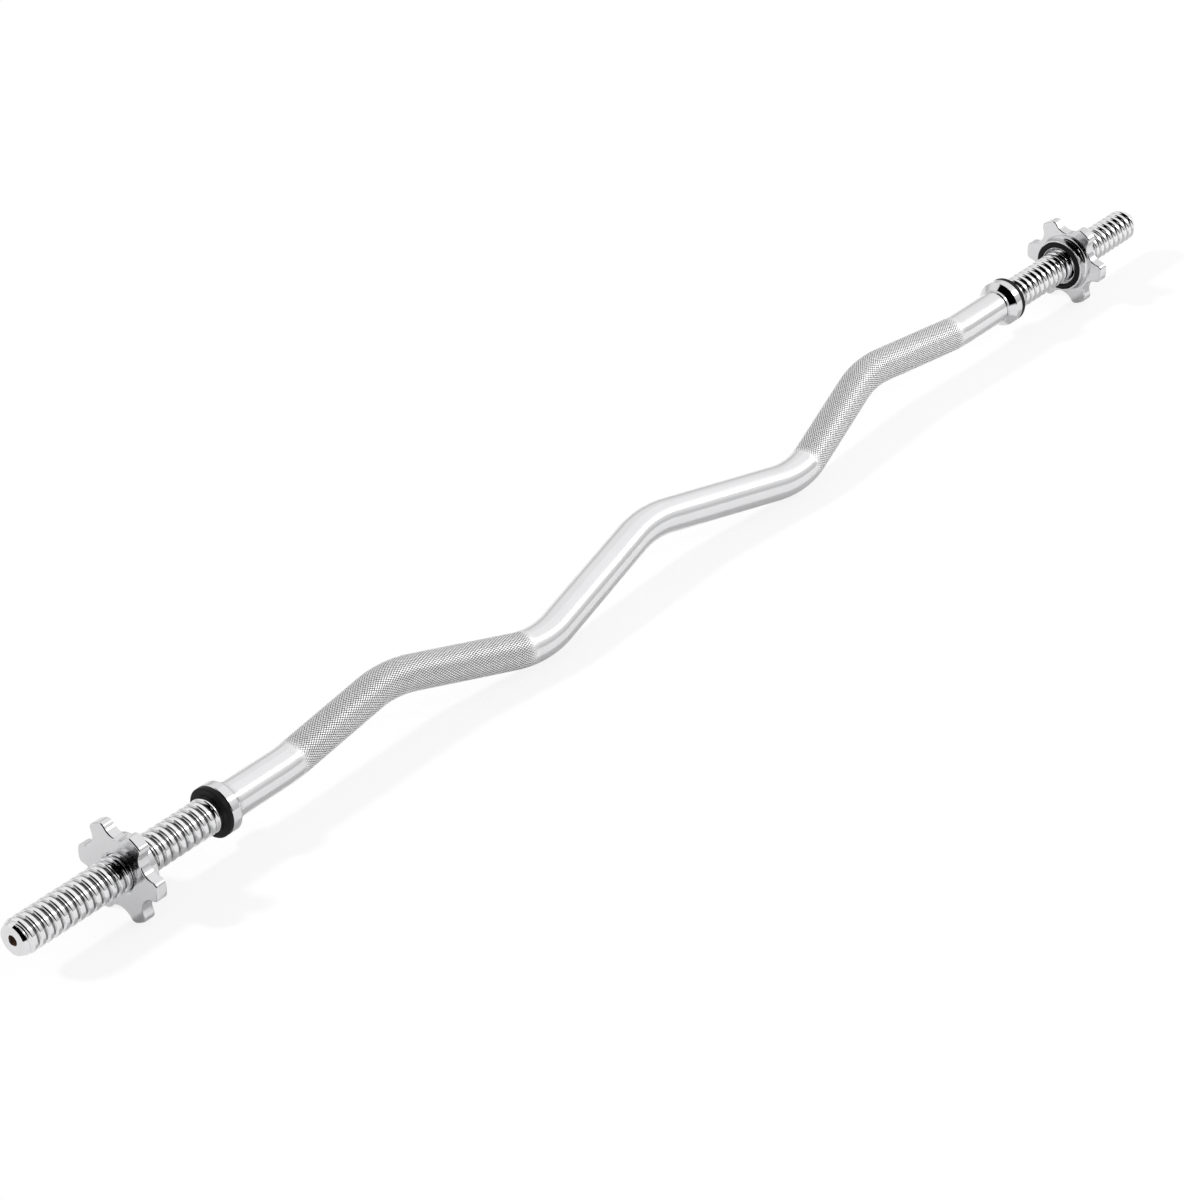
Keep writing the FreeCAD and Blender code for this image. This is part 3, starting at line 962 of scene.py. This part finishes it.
def floorFinish():
    material = bpy.data.materials.new("paleFloor")
    material.use_nodes = True
    tree = material.node_tree
    tree.nodes.clear()
    rays = addNode(tree, "ShaderNodeLightPath").outputs
    tone = shade(tree, rays["Is Glossy Ray"], (studio["floorPaper"],) * 3, (studio["floorMirrored"],) * 3)
    paper = addNode(tree, "ShaderNodeBsdfDiffuse", {"Color": tone})
    plain = addNode(tree, "ShaderNodeEmission", {"Color": (1, 1, 1, 1), "Strength": 1.0})
    seen = calc(tree, "MULTIPLY", rays["Is Camera Ray"], studio["floorLift"])
    mix = addNode(tree, "ShaderNodeMixShader", {0: seen, 1: paper.outputs[0], 2: plain.outputs[0]})
    output = addNode(tree, "ShaderNodeOutputMaterial")
    tree.links.new(mix.outputs[0], output.inputs[0])
    return material


def makeFloor():
    reach = studio["floorReach"]
    corners = [(-reach, -reach, 0), (reach, -reach, 0), (reach, reach, 0), (-reach, reach, 0)]
    mesh = bpy.data.meshes.new("paleFloor")
    mesh.from_pydata(corners, [], [(0, 1, 2, 3)])
    mesh.materials.append(floorFinish())
    ground = bpy.data.objects.new("paleFloor", mesh)
    collection.objects.link(ground)


def hungLamp(light, place, back, along):
    # the lamp shines away from the direction called back
    back = Vector(back).normalized()
    across = back.cross(Vector(along)).normalized()
    turned = Matrix((across.cross(back), across, back)).transposed().to_4x4()
    holder = bpy.data.objects.new(light.name, light)
    holder.matrix_world = Matrix.Translation(place) @ turned
    holder.visible_camera = False
    collection.objects.link(holder)
    return holder


def keyLamp():
    key = studio["key"]
    light = bpy.data.lights.new("keyLamp", "SUN")
    light.angle = radians(key["spread"])
    light.energy = key["strength"]
    holder = hungLamp(light, (0, 0, key["height"]), -Vector(key["towards"]), (0, 1, 0))
    holder.visible_glossy = False


def softbox(name, place, along, size, brightness):
    light = bpy.data.lights.new(name, "AREA")
    light.shape = "RECTANGLE"
    light.size, light.size_y = size
    light.energy = brightness * pi * size[0] * size[1]
    hungLamp(light, place, place, along)


def makeWorld():
    world = bpy.data.worlds.new("studioWorld")
    bpy.context.scene.world = world
    world.use_nodes = True
    tree = world.node_tree
    tree.nodes.clear()
    rays = addNode(tree, "ShaderNodeLightPath").outputs
    x, y, z = splitXyz(tree, addNode(tree, "ShaderNodeTexCoord").outputs["Generated"])
    opening = studio["opening"]
    behind = calc(tree, "SUBTRACT", calc(tree, "MULTIPLY", z, opening["backLean"]), y)
    dark = calc(tree, "MULTIPLY", ease(tree, x, *opening["left"]), ease(tree, x, *opening["right"]))
    dark = calc(tree, "MULTIPLY", dark, ease(tree, behind, *opening["backEdge"]))
    dark = calc(tree, "MULTIPLY", dark, ease(tree, z, *opening["foot"]))
    mirrored = ease(tree, z, *studio["climb"], studio["horizon"], studio["overhead"])
    mirrored = calc(tree, "MULTIPLY", mirrored, calc(tree, "SUBTRACT", 1.0, dark))
    shiny = calc(tree, "MAXIMUM", rays["Is Glossy Ray"], rays["Is Transmission Ray"])
    level = addNode(tree, "ShaderNodeMix", {0: shiny, 2: studio["worldFill"], 3: mirrored}, data_type="FLOAT")
    level = addNode(tree, "ShaderNodeMix", {0: rays["Is Camera Ray"], 2: level.outputs[0], 3: 1.0},
                    data_type="FLOAT")
    sky = addNode(tree, "ShaderNodeBackground", {"Color": (1, 1, 1, 1), "Strength": level.outputs[0]})
    output = addNode(tree, "ShaderNodeOutputWorld")
    tree.links.new(sky.outputs[0], output.inputs[0])


makeFloor()
keyLamp()
for name, settings in studio["softboxes"].items():
    softbox(name, **settings)
makeWorld()

view = {                          # where the photograph was taken from
    "place": (-1.7208, -1.3762, 1.3942),
    "right": (0.63717, -0.77072, 0.0),
    "up": (0.41788, 0.34549, 0.84024),
    "lens": 112.0,
    "sensor": 36,
    "farthest": 50,
}
lens = bpy.data.cameras.new("photoCamera")
lens.lens = view["lens"]
lens.sensor_width = view["sensor"]
lens.clip_end = view["farthest"]
camera = bpy.data.objects.new("photoCamera", lens)
right, up = Vector(view["right"]), Vector(view["up"])
turned = Matrix((right, up, right.cross(up))).transposed().to_4x4()
camera.matrix_world = Matrix.Translation(view["place"]) @ turned
collection.objects.link(camera)
bpy.context.scene.camera = camera
bpy.context.scene.view_settings.view_transform = "Standard"
print("studio and camera set")
